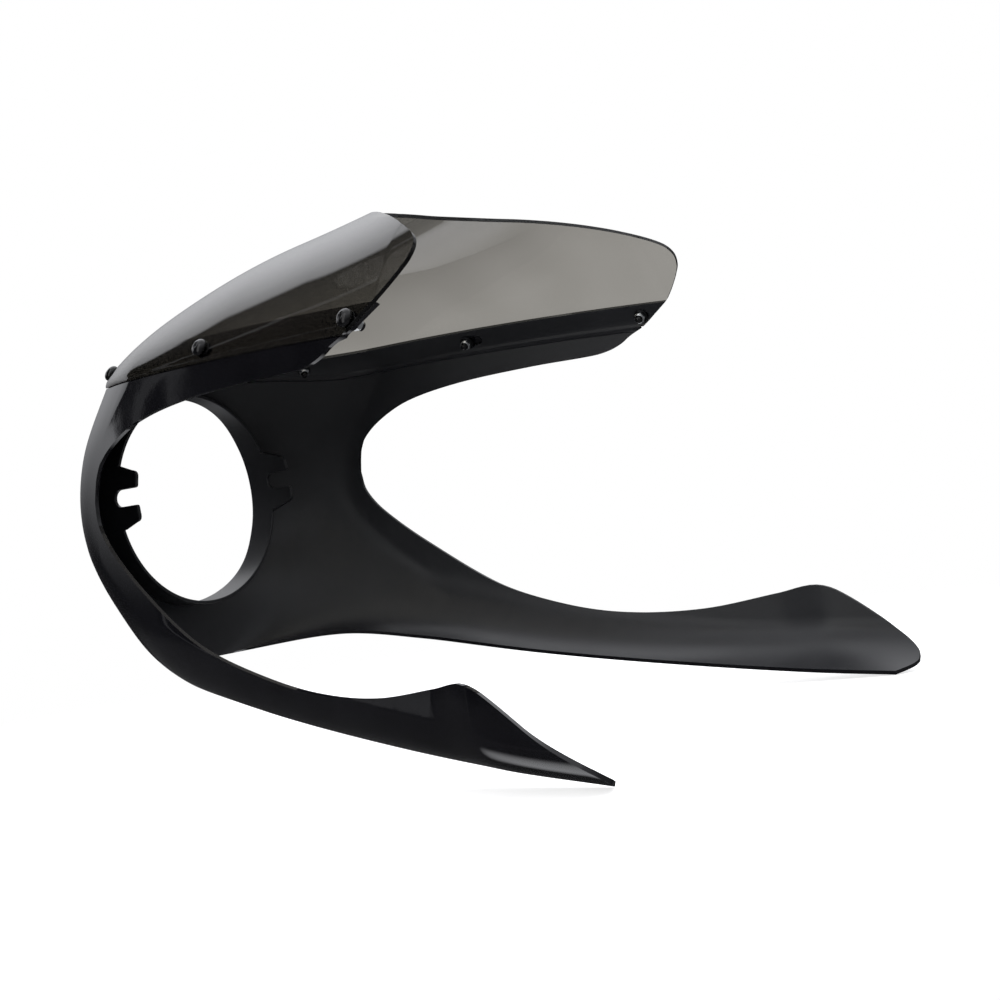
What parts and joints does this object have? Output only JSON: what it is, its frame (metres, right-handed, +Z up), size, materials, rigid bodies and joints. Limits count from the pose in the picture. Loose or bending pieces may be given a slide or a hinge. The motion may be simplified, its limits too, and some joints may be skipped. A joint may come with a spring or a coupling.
{
  "type": "headlight cowl",
  "caption": "Moulded motorbike headlight cowl with a round lamp opening, swept lower arms and a smoked bubble screen screwed to a stepped seat.",
  "frame": {"origin": "centre of the headlight opening, on the rear rim of its collar", "axes": "+Z up, the nose points along -Y, the arms run back along +Y, and X = 0 is the mirror plane"},
  "size_m": [0.4564, 0.5407, 0.3847],
  "materials": {
    "body_plastic": "gloss black outside, satin inside",
    "screen_plastic": "clear gloss, smoked",
    "screw_finish": "gloss black",
    "steel": "zinc plated"
  },
  "bodies": {
    "root": {"cowl_shell": "body_plastic", "windscreen": "screen_plastic", "screen_screws": "screw_finish", "screen_washers": "steel", "screen_nuts": "steel"}
  },
  "joints": []
}
